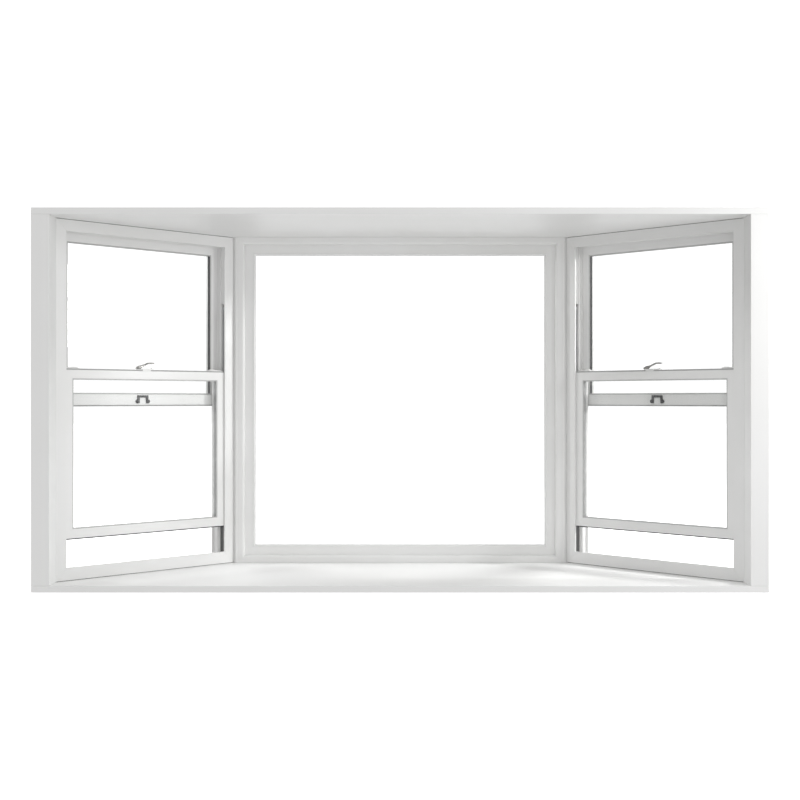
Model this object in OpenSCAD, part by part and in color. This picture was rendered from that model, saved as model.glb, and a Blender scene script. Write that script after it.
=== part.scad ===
// Bay window unit: a fixed picture window between two angled double-hung
// windows, joined by mull posts and closed by a head board and a seat board.
// Millimetres. X runs along the wall, +Y points outdoors, +Z up.
// Origin: middle of the opening, on the room side wall plane, under the seat board.

/* [Overall] */
// Width of the whole unit at the wall
unit_w = 2438; // [2240:1:2900]
// Height of the whole unit, boards included
unit_h = 1272; // [1060:1:1540]
// Thickness of the head board and the seat board
board_t = 22; // [16:1:40]
// Angle of the side windows to the wall
bay_angle = 45; // [30:1:50]
// Width of a side jamb's room side edge
side_jamb_w = 61; // [58:1:90]
// Depth of the straight side jamb before the side window starts
reveal = 85; // [40:1:160]

/* [Frames] */
// Width of each side window frame
side_w = 749; // [620:1:900]
// Depth of every window frame, room side to outdoors
frame_d = 83; // [80:1:110]
// Room side face of a jamb
jamb_face = 40; // [36:1:50]
// Room side face of the head
head_face = 41; // [38:1:60]
// Room side face of the sill
sill_face = 45; // [38:1:70]
// Thickness of the room side leg that holds the lower sash in
leg_t = 8; // [5:1:9]
// Room side face of the picture window frame
picture_face = 28; // [26:1:45]
// How deep the fixed sash sits behind that face
picture_recess = 12; // [6:1:18]
// Gap between a side window and the picture window, along the wall
mull_gap = 14; // [10:1:30]
// How far the picture window stands into the room from the side window's corner
picture_step = 6; // [0:1:12]

/* [Sashes] */
// Thickness of every sash
sash_t = 33; // [31:1:35]
// Width of the upright stiles
stile_w = 38; // [34:1:60]
// Height of the top rails
top_rail = 38.5; // [34:0.5:60]
// Height of the lower sash's bottom rail
bottom_rail = 36; // [32:1:70]
// Height of the upper sash's meeting rail
meeting_rail = 47; // [42:1:60]
// How far the meeting rail's foot lies below the middle of the frame
meeting_drop = 22.5; // [16:0.5:32]
// How far the lower sash is raised from closed
sash_raise = 120; // [60:1:200]
// Width of the picture window's sash
picture_sash_w = 43; // [36:1:60]

/* [Glass] */
// Thickness of one pane
pane_t = 3; // [2.5:0.5:4]
// Thickness of the sealed glass unit
unit_glass_t = 18.4; // [15:0.1:18.4]

/* [Hardware] */
// Length of the sash lock's base
lock_len = 72; // [60:1:90]
// Length of the lever, hub included
lever_len = 77; // [60:1:90]
// Width of the keeper across its feet
keeper_w = 60; // [48:1:72]
// Length of the balance channel in each jamb
balance_len = 500; // [300:1:520]
// Height of the balance's top over the middle of the frame
balance_top = 356; // [200:1:380]

/* [Hidden] */
$fn = 48;
over = 1;                 // a cutter's overshoot past a face

vinyl = [0.93, 0.93, 0.92];
board_white = [0.95, 0.95, 0.94];
nickel = [0.55, 0.54, 0.52];
steel = [0.45, 0.46, 0.47];
spacer_grey = [0.16, 0.17, 0.18];
pane_tint = [0.80, 0.88, 0.88, 0.35];

// Tracks across the depth of a double-hung frame. Thick sashes make every frame deeper.
sash_gap = 0.5;                              // running clearance at a sash's faces
track_t = sash_t + 2 * sash_gap;
part_t = 3.5;                                // parting stop between the tracks
part_y = leg_t + track_t;
upper_y = part_y + part_t;                   // start of the upper sash's track
stop_y = upper_y + track_t;                  // start of the outdoor stop
stop_least = 0.5;                            // thinnest outdoor stop
depth = max(frame_d, stop_y + stop_least);

// Places in plan, for the right-hand half.
ca = cos(bay_angle);
sa = sin(bay_angle);
frame_h = unit_h - 2 * board_t;
half_w = unit_w / 2;
near_x = half_w - side_jamb_w;               // side window's room side corner at the wall
near_y = reveal;
far_x = near_x - side_w * ca;                // side window's room side corner at the mull
far_y = near_y + side_w * sa;
picture_x = far_x - mull_gap;                // half the picture window's width
picture_w = 2 * picture_x;
picture_y = far_y - picture_step;            // picture window's room side face
back_y = picture_y + depth;                  // outdoor face of the picture window
outer_near_x = near_x + depth * sa;          // side window's outdoor corner at the wall
outer_near_y = near_y + depth * ca;
outer_far_x = far_x + depth * sa;            // side window's outdoor corner at the mull
outer_far_y = far_y + depth * ca;
// where the side windows' outdoor faces meet the unit's sides and the picture window's plane
side_y = outer_near_y - (half_w - outer_near_x) * sa / ca;
apex_x = half_w - (back_y - side_y) * ca / sa;

// Edges, tracks and pockets of a double-hung frame.
edge_gap = 1;                                // clearance at a sash's edges
leg_lap = 6;                                 // how far a leg laps over its sash's edge
track_floor = jamb_face - leg_lap;           // the jamb's surface behind its leg
stop_reach = jamb_face + 1;                  // how far the stops reach from the frame's edge
pocket_w = 22;                               // balance pocket in the lower sash's track
outer_pocket_w = 11;                         // balance pocket in the upper sash's track
pocket_d = 18;
pocket_off = 1;                              // pocket's start in its track
rebate_h = 2;                                // rebate along the head and sill, beside the boards
rebate_d = 4;
sill_floor = 21;                             // the sill's surface under the lower sash
sill_rib = 30;
sill_out_high = 18;
sill_out_low = 10;
post_sink = 5;                               // the mull post's room face lies behind the frames'
post_slope = (picture_step - post_sink * (1 - ca)) / (mull_gap + post_sink * sa);
cover_w = 6.5;                               // mull cover's width and how far it stands proud
cover_t = 1;

lower_y = leg_t + sash_gap;
raised_y = upper_y + sash_gap;
sash_x = track_floor + edge_gap;
sash_w = side_w - 2 * sash_x;
mid_z = frame_h / 2;
lower_z = sill_floor + edge_gap + sash_raise;
keeper_rise = 12;                            // the closed sash's top lies this far under the middle
closed_top = mid_z - keeper_rise;            // where the keeper starts
lower_h = closed_top - sill_floor - edge_gap;
upper_z = mid_z - meeting_drop;
upper_h = frame_h - track_floor - edge_gap - upper_z;
lower_top = lower_z + lower_h;

// Sealed glass unit in its pocket.
bead_w = 11;                                 // glazing bead's slope, seen from the room
bead_t = 3;
glass_y = 4;                                 // pocket's start behind the sash face
back_set = 3;                                // the outdoor lip's edge lies this much further out
pocket_play = 0.3;
glass_pocket = unit_glass_t + 2 * pocket_play;
glass_bite = 13;                             // how far the pocket reaches past the daylight edge
glass_rest = 0.5;                            // clearance at the glass unit's edges
spacer_w = 8.5;
spacer_set = 3;
seal_h = 5;                                  // rebates for the seals along the sashes' rails
seal_d = 3;

// Picture window's inner places.
picture_lip = 4;                             // how far the face laps over the sash's edge
picture_floor = picture_face - picture_lip;
picture_sash_x = picture_floor + edge_gap;
picture_sash_y = picture_recess + sash_gap;
picture_stop_y = picture_recess + track_t;
stop_lap = 12;
picture_stop = picture_face + stop_lap;

// Hardware places on a side window, in its own frame.
mid_x = side_w / 2;
lock_y = lower_y + sash_t / 2;
lock_off = 5;                                // the lock sits left of the middle
lock_x = mid_x - lock_off;
lock_d = 22;
lock_t = 4;
lever_d = 13;
lever_low = 12;                              // top of the lever by its hub
lever_mid = 18;                              // halfway up its rise
lever_high = 22.5;                           // and at its raised end
lever_t = 6;
// outline of the lever: [share of its half length from the middle, height over its seat]
lever_under = [[-1, 0], [-0.5, 0], [-0.28, lever_low - lever_t], [0.08, lever_mid - lever_t],
               [0.27, lever_high - lever_t], [1, lever_high - lever_t]];
lever_top = [[1, 21.5], [0.85, lever_high], [0.4, lever_high], [0.08, lever_mid],
             [-0.28, lever_low], [-0.5, 11], [-0.85, 7], [-1, 4]];
keeper_d = 4;                                // fits between the two sashes' faces
keeper_h = 29;
keeper_top_w = 44.4;
keeper_bar = 8;
foot_t = 2.4;
foot_r = 7;
latch_len = 62;
latch_w = 20;
latch_t = 6;
latch_end = 2;                               // how far a latch stays from the sash's end
channel_w = 18;
channel_d = 12;
channel_t = 1.4;
clip_h = 16;
cover_gap = 6;
cover_sink = 1.5;                            // the covers' faces lie behind the track's

module mirrored(side) {
    if (side < 0) mirror([1, 0, 0]) children();
    else children();
}

// Puts a side window's own frame in place: x runs left to right as seen from
// the room, y outdoors, z up from the seat board's top.
module place_side(side) {
    translate([side < 0 ? -near_x : far_x, side < 0 ? near_y : far_y, board_t])
        rotate([0, 0, side < 0 ? bay_angle : -bay_angle])
            children();
}

module place_picture() {
    translate([-picture_x, picture_y, board_t]) children();
}

// ---- boards and posts ----

function board_outline() = [
    [-half_w, 0], [half_w, 0], [half_w, side_y], [apex_x, back_y],
    [-apex_x, back_y], [-half_w, side_y]
];

module board(z) {
    color(board_white)
        translate([0, 0, z])
            linear_extrude(board_t) polygon(board_outline());
}

module side_jamb(side) {
    color(board_white)
        mirrored(side)
            translate([0, 0, board_t])
                linear_extrude(frame_h)
                    polygon([[near_x, 0], [half_w, 0], [half_w, side_y],
                             [outer_near_x, outer_near_y], [near_x, near_y]]);
}

module mull_post(side) {
    color(vinyl)
        mirrored(side)
            translate([0, 0, board_t])
                linear_extrude(frame_h)
                    polygon([
                        [picture_x, picture_y + post_sink],
                        [far_x + post_sink * sa, far_y + post_sink * ca],
                        [outer_far_x, outer_far_y], [apex_x, back_y], [picture_x, back_y]
                    ]);
}

// Narrow strip that covers the joint beside the picture window on the room side.
module mull_cover(side) {
    color(vinyl)
        mirrored(side)
            translate([0, 0, board_t])
                linear_extrude(frame_h)
                    polygon([
                        [picture_x, picture_y - cover_t],
                        [picture_x + cover_w, picture_y - cover_t],
                        [picture_x + cover_w, picture_y + post_sink + cover_w * post_slope],
                        [picture_x, picture_y + post_sink]
                    ]);
}

// ---- double-hung frame ----

// Outline of a jamb behind its leg, without the balance pockets: x inwards, y depth.
function jamb_envelope() = [
    [-over, leg_t], [track_floor, leg_t], [track_floor, part_y], [stop_reach, part_y],
    [stop_reach, upper_y], [track_floor, upper_y], [track_floor, stop_y],
    [stop_reach, stop_y], [stop_reach, depth + over], [-over, depth + over]
];

module pocket(track_y, width) {
    translate([track_floor - pocket_d, track_y + pocket_off])
        square([pocket_d + over, width]);
}

// A jamb standing at x = 0, with its leg mitred into the head and the sill.
module jamb() {
    rotate([90, 0, 0])
        mirror([0, 0, 1])
            linear_extrude(leg_t)
                polygon([[0, 0], [jamb_face, jamb_face],
                         [jamb_face, frame_h - jamb_face], [0, frame_h]]);
    linear_extrude(frame_h)
        difference() {
            intersection() {
                polygon(jamb_envelope());
                square([stop_reach, depth]);
            }
            pocket(leg_t, pocket_w);
            pocket(upper_y, outer_pocket_w);
        }
}

// Room side leg of a head or sill lying at z = 0 with its face z = 0..face.
module leg_bar(width, face, side_face) {
    difference() {
        rotate([90, 0, 0])
            mirror([0, 0, 1])
                linear_extrude(leg_t)
                    polygon([[0, 0], [width, 0], [width - side_face, side_face],
                             [width - side_face, face], [side_face, face],
                             [side_face, side_face]]);
        translate([-over, -over, -over])
            cube([width + 2 * over, rebate_d + over, rebate_h + over]);
    }
}

// Runs a profile drawn as [depth, height] along the window's width.
module across(width, profile) {
    rotate([90, 0, 90])
        linear_extrude(width)
            polygon(profile);
}

module cut_for_jambs(width) {
    difference() {
        children();
        for (flip = [0, 1])
            translate([flip * width, 0, -over])
                mirror([flip, 0, 0])
                    linear_extrude(frame_h + 2 * over) polygon(jamb_envelope());
    }
}

module window_head_bar() {
    leg_bar(side_w, head_face, jamb_face);
    cut_for_jambs(side_w)
        across(side_w, [
            [leg_t, 0], [leg_t, track_floor], [part_y, track_floor], [part_y, stop_reach],
            [upper_y, stop_reach], [upper_y, track_floor], [stop_y, track_floor],
            [stop_y, stop_reach], [depth, stop_reach], [depth, 0]
        ]);
}

module window_sill_bar() {
    leg_bar(side_w, sill_face, jamb_face);
    cut_for_jambs(side_w)
        across(side_w, [
            [leg_t, 0], [leg_t, sill_floor], [part_y, sill_floor], [part_y, sill_rib],
            [upper_y, sill_rib], [upper_y, sill_out_high], [depth, sill_out_low],
            [depth, 0]
        ]);
}

module window_head(side) {
    color(vinyl)
        place_side(side)
            translate([0, 0, frame_h]) mirror([0, 0, 1]) window_head_bar();
}

module window_sill(side) {
    color(vinyl) place_side(side) window_sill_bar();
}

module window_jamb(side, at_wall) {
    right_end = (side > 0) == at_wall;
    color(vinyl)
        place_side(side)
            translate([right_end ? side_w : 0, 0, 0])
                mirror([right_end ? 1 : 0, 0, 0])
                    jamb();
}

// ---- sashes and glass ----

// Room side slope of the glazing bead round an opening at [x, z] of size w by h:
// two wedges, one narrowing along x and one along z, share a mitred funnel.
module bead_funnel(x, z, w, h) {
    intersection() {
        translate([0, 0, z - bead_w - over])
            linear_extrude(h + 2 * (bead_w + over))
                polygon([[x - bead_w, -over], [x - bead_w, 0], [x, bead_t],
                         [x + w, bead_t], [x + w + bead_w, 0], [x + w + bead_w, -over]]);
        translate([x - bead_w - over, 0, 0])
            rotate([90, 0, 90])
                linear_extrude(w + 2 * (bead_w + over))
                    polygon([[-over, z - bead_w], [0, z - bead_w], [bead_t, z],
                             [bead_t, z + h], [0, z + h + bead_w], [-over, z + h + bead_w]]);
    }
}

// A welded sash from [0, 0, 0], with a sloped glazing bead and a glass pocket.
module sash(w, h, stile, top, bottom) {
    light_w = w - 2 * stile;
    light_h = h - top - bottom;
    difference() {
        cube([w, sash_t, h]);
        translate([stile, -over, bottom])
            cube([light_w, sash_t, light_h]);
        translate([stile - back_set, glass_y, bottom - back_set])
            cube([light_w + 2 * back_set, sash_t, light_h + 2 * back_set]);
        translate([stile - glass_bite, glass_y, bottom - glass_bite])
            cube([light_w + 2 * glass_bite, glass_pocket, light_h + 2 * glass_bite]);
        bead_funnel(stile, bottom, light_w, light_h);
    }
}

// Cuts the rebate for a seal along a sash's room side edge at height z.
module seal_rebate(z) {
    difference() {
        children();
        translate([-over, -over, z]) cube([sash_w + 2 * over, seal_d + over, seal_h + over]);
    }
}

// Place and size of the sealed unit of a sash: [x, z, width, height].
function glass_box(w, h, stile, top, bottom) = [
    stile - glass_bite + glass_rest,
    bottom - glass_bite + glass_rest,
    w - 2 * (stile - glass_bite + glass_rest),
    h - top - bottom + 2 * (glass_bite - glass_rest)
];

module panes(box) {
    for (y = [0, unit_glass_t - pane_t])
        translate([box[0], glass_y + pocket_play + y, box[1]])
            cube([box[2], pane_t, box[3]]);
}

module spacer(box) {
    bar_t = unit_glass_t - 2 * pane_t;
    translate([box[0] + spacer_set, glass_y + pocket_play + pane_t, box[1] + spacer_set])
        difference() {
            cube([box[2] - 2 * spacer_set, bar_t, box[3] - 2 * spacer_set]);
            translate([spacer_w, -over, spacer_w])
                cube([box[2] - 2 * spacer_set - 2 * spacer_w, bar_t + 2 * over,
                      box[3] - 2 * spacer_set - 2 * spacer_w]);
        }
}

module at_lower() translate([sash_x, lower_y, lower_z]) children();
module at_upper() translate([sash_x, raised_y, upper_z]) children();

lower_box = glass_box(sash_w, lower_h, stile_w, top_rail, bottom_rail);
upper_box = glass_box(sash_w, upper_h, stile_w, top_rail, meeting_rail);

module lower_sash(side) color(vinyl)
    place_side(side) at_lower()
        seal_rebate(lower_h - seal_h)
            sash(sash_w, lower_h, stile_w, top_rail, bottom_rail);
module upper_sash(side) color(vinyl)
    place_side(side) at_upper()
        seal_rebate(-over)
            sash(sash_w, upper_h, stile_w, top_rail, meeting_rail);
module lower_glass(side) color(pane_tint) place_side(side) at_lower() panes(lower_box);
module upper_glass(side) color(pane_tint) place_side(side) at_upper() panes(upper_box);
module glass_spacers(side) color(spacer_grey) place_side(side) {
    at_lower() spacer(lower_box);
    at_upper() spacer(upper_box);
}

// ---- picture window ----

module picture_leg(width) {
    rotate([90, 0, 0])
        mirror([0, 0, 1])
            linear_extrude(depth)
                polygon([[0, 0], [width, 0], [width - picture_stop, picture_stop],
                         [picture_stop, picture_stop]]);
}

// A mitred member along x with its outer edge at z = 0.
module picture_bar(width) {
    intersection() {
        picture_leg(width);
        across(width, [
            [0, 0], [0, picture_face], [picture_recess, picture_face],
            [picture_recess, picture_floor], [picture_stop_y, picture_floor],
            [picture_stop_y, picture_stop], [depth, picture_stop], [depth, 0]
        ]);
    }
}

module picture_head() color(vinyl)
    place_picture() translate([0, 0, frame_h]) mirror([0, 0, 1]) picture_bar(picture_w);
module picture_sill() color(vinyl) place_picture() picture_bar(picture_w);
module picture_jamb(side) color(vinyl)
    place_picture()
        translate([side < 0 ? 0 : picture_w, 0, 0])
            mirror([side < 0 ? 0 : 1, 0, 0])
                rotate([0, 90, 0]) mirror([1, 0, 0]) picture_bar(frame_h);

module at_picture() place_picture()
    translate([picture_sash_x, picture_sash_y, picture_sash_x]) children();

picture_sash_len = picture_w - 2 * picture_sash_x;
picture_sash_h = frame_h - 2 * picture_sash_x;
picture_box = glass_box(picture_sash_len, picture_sash_h,
                        picture_sash_w, picture_sash_w, picture_sash_w);

module picture_sash() color(vinyl)
    at_picture() sash(picture_sash_len, picture_sash_h,
                      picture_sash_w, picture_sash_w, picture_sash_w);
module picture_glass() color(pane_tint) at_picture() panes(picture_box);
module picture_spacer() color(spacer_grey) at_picture() spacer(picture_box);

// ---- hardware of a double-hung window ----

module stadium(length, width) {
    square([length - width, width], center = true);
    for (s = [-1, 1])
        translate([s * (length - width) / 2, 0]) circle(d = width);
}

// Base of the cam lock, lying along the top of the lower sash.
module sash_lock(side) {
    color(vinyl)
        place_side(side)
            translate([lock_x, lock_y, lower_top])
                linear_extrude(lock_t) stadium(lock_len, lock_d);
}

// The lock's lever in its open place: a low hub at the left and a raised thumb
// end at the right.
module lock_lever(side) {
    color(nickel)
        place_side(side)
            translate([lock_x, lock_y, lower_top + lock_t])
                rotate([90, 0, 0])
                    translate([0, 0, -lever_d / 2])
                        linear_extrude(lever_d)
                            polygon([for (p = concat(lever_under, lever_top))
                                [p[0] * lever_len / 2, p[1]]]);
}

// Arched keeper on the meeting rail's face, above the closed lower sash.
module keeper(side) {
    color(nickel)
        place_side(side)
            translate([mid_x, raised_y, closed_top])
                rotate([90, 0, 0]) {
                    linear_extrude(keeper_d)
                        polygon([
                            [-keeper_w / 2 + foot_r, 0], [-keeper_top_w / 2, keeper_h],
                            [keeper_top_w / 2, keeper_h], [keeper_w / 2 - foot_r, 0],
                            [keeper_w / 2 - foot_r - keeper_bar, 0],
                            [keeper_top_w / 2 - keeper_bar, keeper_h - keeper_bar],
                            [-keeper_top_w / 2 + keeper_bar, keeper_h - keeper_bar],
                            [-keeper_w / 2 + foot_r + keeper_bar, 0]
                        ]);
                    for (s = [-1, 1])
                        translate([s * (keeper_w / 2 - foot_r), foot_r, 0])
                            cylinder(r = foot_r, h = foot_t);
                }
}

// Sliding tilt latches at both ends of the lower sash's top rail.
module tilt_latches(side) {
    color(vinyl)
        place_side(side)
            for (s = [0, 1])
                translate([s * side_w, 0, lower_top])
                    mirror([s, 0, 0])
                        translate([sash_x + latch_end, lower_y + (sash_t - latch_w) / 2, 0])
                            cube([latch_len, latch_w, latch_t]);
}

// Strips that close the lower tracks' pockets above the balances.
module pocket_covers(side) {
    foot = mid_z + balance_top + cover_gap;
    color(vinyl)
        place_side(side)
            for (s = [0, 1])
                translate([s * side_w, 0, foot])
                    mirror([s, 0, 0])
                        translate([track_floor - pocket_d, leg_t + pocket_off + pocket_play, 0])
                            cube([pocket_d - cover_sink, pocket_w - 2 * pocket_play,
                                  frame_h - track_floor - foot - pocket_play]);
}

// Balance channel screwed into each jamb's lower track, closed at both ends.
module balances(side) {
    color(steel)
        place_side(side)
            for (s = [0, 1])
                translate([s * side_w, 0, mid_z + balance_top - balance_len])
                    mirror([s, 0, 0])
                        translate([track_floor - pocket_d,
                                   leg_t + pocket_off + (pocket_w - channel_w) / 2, 0])
                            difference() {
                                cube([channel_d, channel_w, balance_len]);
                                translate([channel_t, channel_t, clip_h])
                                    cube([channel_d, channel_w - 2 * channel_t,
                                          balance_len - 2 * clip_h]);
                            }
}

board(unit_h - board_t);  // head_board
board(0);  // seat_board
side_jamb(-1);  // left_side_jamb
side_jamb(1);  // right_side_jamb
mull_post(-1);  // left_mull_post
mull_post(1);  // right_mull_post
mull_cover(-1);  // left_mull_cover
mull_cover(1);  // right_mull_cover
picture_head();
picture_sill();
picture_jamb(-1);  // picture_left_jamb
picture_jamb(1);  // picture_right_jamb
picture_sash();
picture_glass();
picture_spacer();
window_head(-1);  // left_window_head
window_sill(-1);  // left_window_sill
window_jamb(-1, true);  // left_window_wall_jamb
window_jamb(-1, false);  // left_window_mull_jamb
upper_sash(-1);  // left_upper_sash
upper_glass(-1);  // left_upper_glass
lower_sash(-1);  // left_lower_sash
lower_glass(-1);  // left_lower_glass
glass_spacers(-1);  // left_glass_spacers
sash_lock(-1);  // left_sash_lock
lock_lever(-1);  // left_lock_lever
keeper(-1);  // left_keeper
tilt_latches(-1);  // left_tilt_latches
balances(-1);  // left_balances
pocket_covers(-1);  // left_pocket_covers
window_head(1);  // right_window_head
window_sill(1);  // right_window_sill
window_jamb(1, true);  // right_window_wall_jamb
window_jamb(1, false);  // right_window_mull_jamb
upper_sash(1);  // right_upper_sash
upper_glass(1);  // right_upper_glass
lower_sash(1);  // right_lower_sash
lower_glass(1);  // right_lower_glass
glass_spacers(1);  // right_glass_spacers
sash_lock(1);  // right_sash_lock
lock_lever(1);  // right_lock_lever
keeper(1);  // right_keeper
tilt_latches(1);  // right_tilt_latches
balances(1);  // right_balances
pocket_covers(1);  // right_pocket_covers
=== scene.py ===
# %% [markdown]
# # A bay window unit
# Three windows make a bay: a fixed picture window in the middle and a double-hung window at 45
# degrees on each side. Mull posts join them, and a head board and a seat board close the top and
# the bottom. The sizes and places all come from the CAD model, the fixed frame. Blender adds what a
# drawing leaves out: rounded edges, beads, lips, seals, hardware detail and the finishes.

# %% Load the frame
import math
import bmesh
import bpy
from mathutils import Matrix, Vector


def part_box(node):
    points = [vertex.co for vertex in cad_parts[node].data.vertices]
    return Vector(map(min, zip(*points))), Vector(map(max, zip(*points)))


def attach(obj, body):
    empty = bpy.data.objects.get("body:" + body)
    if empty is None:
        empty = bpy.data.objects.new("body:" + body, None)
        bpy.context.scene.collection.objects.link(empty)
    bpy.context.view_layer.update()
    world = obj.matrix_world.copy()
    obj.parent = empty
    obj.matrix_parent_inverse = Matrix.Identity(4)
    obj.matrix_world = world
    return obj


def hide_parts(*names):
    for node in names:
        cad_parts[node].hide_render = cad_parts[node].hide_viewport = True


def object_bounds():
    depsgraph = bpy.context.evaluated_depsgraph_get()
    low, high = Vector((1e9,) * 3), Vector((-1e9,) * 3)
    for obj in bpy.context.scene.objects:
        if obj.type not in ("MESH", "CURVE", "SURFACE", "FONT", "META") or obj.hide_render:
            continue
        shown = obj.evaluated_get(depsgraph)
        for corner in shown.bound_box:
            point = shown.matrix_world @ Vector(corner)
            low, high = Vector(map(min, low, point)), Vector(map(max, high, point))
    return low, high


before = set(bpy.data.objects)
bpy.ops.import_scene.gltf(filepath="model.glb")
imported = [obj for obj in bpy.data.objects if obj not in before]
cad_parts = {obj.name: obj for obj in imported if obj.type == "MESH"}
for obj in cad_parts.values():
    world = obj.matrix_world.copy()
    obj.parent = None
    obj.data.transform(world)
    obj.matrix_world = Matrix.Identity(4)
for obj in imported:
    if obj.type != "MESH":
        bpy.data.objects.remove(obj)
cad_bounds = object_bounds()
MM = 0.001
print("nodes in the frame:", len(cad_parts))

# %% [markdown]
# ## The camera
# The unit is looked at from inside the room, straight on and at half its height, so the head board
# shows its underside and the seat board its top. A long lens from far back keeps the perspective calm.

# %% Camera
EYE_DISTANCE = 4.249
SENSOR_WIDTH, LENS = 36, 57.94
unit_low, unit_high = cad_bounds
eye = Vector((0, unit_low.y - EYE_DISTANCE, (unit_low.z + unit_high.z) / 2))
camera = bpy.data.objects.new("camera", bpy.data.cameras.new("camera"))
camera.data.sensor_width = SENSOR_WIDTH
camera.data.lens = LENS
camera.location = eye
camera.rotation_euler = (math.radians(90), 0, 0)
bpy.context.scene.collection.objects.link(camera)
bpy.context.scene.camera = camera
print("camera at", [round(c, 3) for c in eye])

# %% [markdown]
# ## Each window's own coordinates
# A window is easiest to detail lying square: x to the right as seen from the room, y outdoors, z up.
# One matrix per window then puts the detail in its place. The angle is the bay's, and the corners are
# read from the CAD jambs, so the two kinds of work can't drift apart.

# %% Places of the three windows
BAY_ANGLE = math.radians(45)
turn = math.sin(BAY_ANGLE)
frame_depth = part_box("picture_head")[1].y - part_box("picture_head")[0].y
board_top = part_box("seat_board")[1].z
mull_low, mull_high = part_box("right_window_mull_jamb")
wall_low, wall_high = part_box("right_window_wall_jamb")
near_corner = Vector((wall_high.x - frame_depth * turn, wall_low.y))
far_corner = Vector((mull_low.x, mull_high.y - frame_depth * turn))
side_width = (near_corner - far_corner).length
frame_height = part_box("picture_left_jamb")[1].z - board_top
picture_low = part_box("picture_sill")[0]

PLACES = {
    "left": Matrix.Translation((-near_corner.x, near_corner.y, board_top))
    @ Matrix.Rotation(BAY_ANGLE, 4, "Z"),
    "right": Matrix.Translation((far_corner.x, far_corner.y, board_top))
    @ Matrix.Rotation(-BAY_ANGLE, 4, "Z"),
    "picture": Matrix.Translation((picture_low.x, picture_low.y, board_top)),
}
SIDES = ("left", "right")


def local_box(node, window):
    """Lowest and highest corner of a CAD node in its window's own coordinates."""
    back = PLACES[window].inverted()
    points = [back @ v.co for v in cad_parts[node].data.vertices]
    low = Vector(min(p[i] for p in points) for i in range(3))
    high = Vector(max(p[i] for p in points) for i in range(3))
    return low, high


print("side window", round(side_width, 4), "wide, frames", round(frame_height, 4), "high")

# %% [markdown]
# ## Writing a finish as sums
# A finish is a graph of nodes, but most of it is arithmetic on masks. Wrapping a socket in a small
# class lets a mask be written as `1 - dirt * 0.3`, and each operator adds the Math node that it means.
# Every other node comes from one method, which makes its settings first and then its sockets.

# %% Sockets that add up
class Wire:
    """An output socket that can be used in sums."""

    def __init__(self, graph, socket):
        self.graph, self.socket = graph, socket

    def sum(self, operation, first, second):
        """The Math node for one operator."""
        settings = {"operation": operation}
        return self.graph.node("ShaderNodeMath", settings, {0: first, 1: second})

    def __add__(self, other):
        return self.sum("ADD", self, other)

    def __rsub__(self, other):
        return self.sum("SUBTRACT", other, self)

    def __mul__(self, other):
        return self.sum("MULTIPLY", self, other)

    __radd__, __rmul__ = __add__, __mul__


class Graph:
    """A node tree that is written in Python."""

    def __init__(self, owner):
        owner.use_nodes = True
        self.tree = owner.node_tree
        self.tree.nodes.clear()

    def node(self, kind, settings=None, sockets=None, out=0):
        """Adds a node: its settings first, then its sockets' values or links."""
        node = self.tree.nodes.new(kind)
        for name, value in (settings or {}).items():
            setattr(node, name, value)
        for name, value in (sockets or {}).items():
            if isinstance(value, Wire):
                self.tree.links.new(value.socket, node.inputs[name])
            else:
                node.inputs[name].default_value = value
        return Wire(self, node.outputs[out])

    def end(self, kind, shader):
        """Joins a shader to the tree's output."""
        output = self.tree.nodes.new(kind)
        self.tree.links.new(shader.socket, output.inputs["Surface"])


print("sockets can be added, subtracted and multiplied")

# %% [markdown]
# ## The parts of a finish
# Most finishes here use the same few things: a noise in the object's own space, a smooth step that
# turns it into a mask, a blend of two colours and a bump. Each gets a short name, so a finish reads
# like a recipe. A noise is drawn out along an axis by scaling the place before it is looked up.

# %% The parts of a finish
class Finish(Graph):
    """A material that is built up from nodes."""

    def __init__(self, name):
        self.material = bpy.data.materials.new(name)
        super().__init__(self.material)
        self.place = self.node("ShaderNodeTexCoord", out="Object")

    def noise(self, scale, detail=3, stretch=(1, 1, 1)):
        """Noise over the object, drawn out along an axis where stretch is small."""
        where = self.node("ShaderNodeVectorMath", {"operation": "MULTIPLY"}, {
            0: self.place, 1: stretch})
        return self.node("ShaderNodeTexNoise", None, {
            "Vector": where, "Scale": scale, "Detail": detail})

    def step(self, value, low, high):
        """0 below low, 1 above high, and smooth between them."""
        return self.node("ShaderNodeMapRange", {"interpolation_type": "SMOOTHSTEP"}, {
            "Value": value, "From Min": low, "From Max": high})

    def blend(self, factor, first, second):
        """One colour where factor is 0, the other where it is 1."""
        return self.node("ShaderNodeMix", {"data_type": "RGBA"}, {
            0: factor, 6: first, 7: second}, out=2)

    def bump(self, height, depth, strength):
        """A normal that is tilted as if the height stood depth metres proud."""
        return self.node("ShaderNodeBump", None, {
            "Height": height, "Distance": depth, "Strength": strength})

    def surface(self, shader):
        """Closes the finish and gives back its material."""
        self.end("ShaderNodeOutputMaterial", shader)
        return self.material

    def plastic(self, **sockets):
        """The general shader, with each socket named in the usual way."""
        named = {name.replace("_", " "): value for name, value in sockets.items()}
        return self.surface(self.node("ShaderNodeBsdfPrincipled", None, named))


def rgb(red, green, blue):
    """An opaque colour."""
    return (red, green, blue, 1)


print("finishes can be written")

# %% [markdown]
# ## White vinyl
# Window vinyl is extruded, so it is smooth with faint die lines and a satin gloss. It is a soft white,
# never pure, and it varies a little from bar to bar. A broad noise carries the tint, a fine one the
# orange-peel texture, and a patchy one makes the gloss uneven, as on plastic that has been wiped.

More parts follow.
